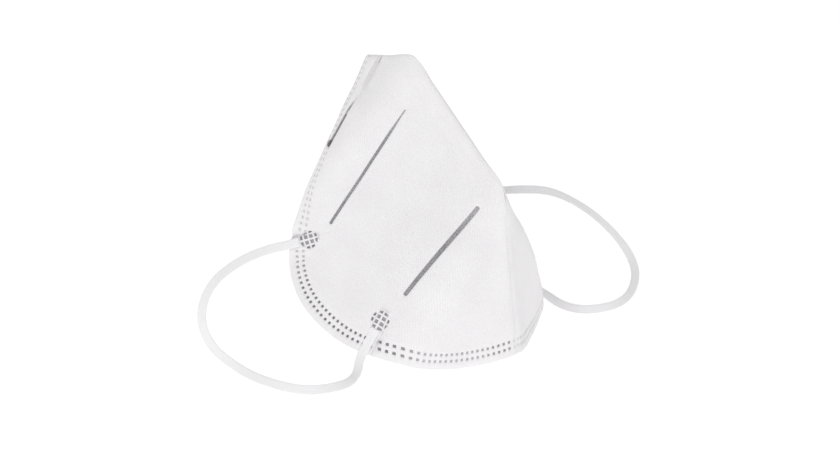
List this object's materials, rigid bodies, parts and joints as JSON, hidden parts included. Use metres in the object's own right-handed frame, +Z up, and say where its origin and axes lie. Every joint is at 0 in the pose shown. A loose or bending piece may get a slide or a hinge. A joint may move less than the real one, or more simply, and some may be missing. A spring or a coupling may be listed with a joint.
{
  "type": "disposable dust mask",
  "caption": "White flat-fold disposable dust mask with a front ridge, welded edge dots, hidden nose clip and elastic ear loops, standing part open.",
  "frame": {"origin": "on the surface it stands on, under the middle of the mask's box without its ear loops", "axes": "+Z up, -Y towards the front ridge and the tip, X across the two mirrored halves"},
  "size_m": [0.2144, 0.1029, 0.1333],
  "materials": {
    "outer_spunbond": "matte spunbond nonwoven with fine bond points",
    "meltblown": "matte meltblown nonwoven",
    "hot_air_cotton": "soft lofty nonwoven",
    "inner_spunbond": "smooth matte spunbond nonwoven",
    "clip_strip": "white plastic-coated wire strip",
    "elastic": "flat knitted elastic"
  },
  "bodies": {
    "left_cheek": {"left_cheek_inner_filter": "meltblown", "left_cheek_lining": "inner_spunbond", "left_cheek_outer_cover": "outer_spunbond", "left_cheek_outer_filter": "meltblown", "left_cheek_support": "hot_air_cotton", "left_lower_band_end": "elastic", "left_upper_band_end": "elastic"},
    "right_cheek": {"right_cheek_inner_filter": "meltblown", "right_cheek_lining": "inner_spunbond", "right_cheek_outer_cover": "outer_spunbond", "right_cheek_outer_filter": "meltblown", "right_cheek_support": "hot_air_cotton", "right_lower_band_end": "elastic", "right_upper_band_end": "elastic"},
    "left_chin": {"left_chin_inner_filter": "meltblown", "left_chin_lining": "inner_spunbond", "left_chin_outer_cover": "outer_spunbond", "left_chin_outer_filter": "meltblown", "left_chin_support": "hot_air_cotton"},
    "right_chin": {"right_chin_inner_filter": "meltblown", "right_chin_lining": "inner_spunbond", "right_chin_outer_cover": "outer_spunbond", "right_chin_outer_filter": "meltblown", "right_chin_support": "hot_air_cotton"},
    "left_nose": {"left_nose_clip_wing": "clip_strip", "left_nose_inner_filter": "meltblown", "left_nose_lining": "inner_spunbond", "left_nose_outer_cover": "outer_spunbond", "left_nose_outer_filter": "meltblown", "left_nose_support": "hot_air_cotton"},
    "right_nose": {"right_nose_clip_wing": "clip_strip", "right_nose_inner_filter": "meltblown", "right_nose_lining": "inner_spunbond", "right_nose_outer_cover": "outer_spunbond", "right_nose_outer_filter": "meltblown", "right_nose_support": "hot_air_cotton"},
    "left_ear_loop": {"left_ear_loop": "elastic"},
    "right_ear_loop": {"right_ear_loop": "elastic"}
  },
  "joints": [
    {"name": "centre_fold", "type": "hinge", "parent": "left_cheek", "child": "right_cheek", "pos_m": [0, -0.0347, 0.07886], "axis": [0, 0.7022, 0.712], "range_deg": [-8, 69]},
    {"name": "left_chin_fold", "type": "hinge", "parent": "left_cheek", "child": "left_chin", "pos_m": [0, -0.0347, 0.07886], "axis": [-0.5391, 0.222, -0.8125], "range_deg": [-4.5, 34]},
    {"name": "right_chin_fold", "type": "hinge", "parent": "right_cheek", "child": "right_chin", "pos_m": [0, -0.0347, 0.07886], "axis": [0.5391, 0.222, -0.8125], "range_deg": [-34, 4.5]},
    {"name": "left_nose_fold", "type": "hinge", "parent": "left_cheek", "child": "left_nose", "pos_m": [0, 0.01691, 0.13119], "axis": [-0.5657, 0.3274, -0.7568], "range_deg": [-30.5, 4]},
    {"name": "right_nose_fold", "type": "hinge", "parent": "right_cheek", "child": "right_nose", "pos_m": [0, 0.01691, 0.13119], "axis": [0.5657, 0.3274, -0.7568], "range_deg": [-4, 30.5]},
    {"name": "left_loop_swing", "type": "hinge", "parent": "left_cheek", "child": "left_ear_loop", "pos_m": [-0.0524, -0.0026, 0.0181], "axis": [-0.0752, 0.7689, 0.6349], "range_deg": [-5, 120]},
    {"name": "right_loop_swing", "type": "hinge", "parent": "right_cheek", "child": "right_ear_loop", "pos_m": [0.0524, -0.0026, 0.0181], "axis": [-0.0752, -0.7689, -0.6349], "range_deg": [-8, 90]}
  ],
  "couplings": [
    {"joint": "left_chin_fold", "follows": "centre_fold", "ratio": 0.486},
    {"joint": "right_chin_fold", "follows": "centre_fold", "ratio": -0.486},
    {"joint": "left_nose_fold", "follows": "centre_fold", "ratio": -0.435},
    {"joint": "right_nose_fold", "follows": "centre_fold", "ratio": 0.435}
  ]
}
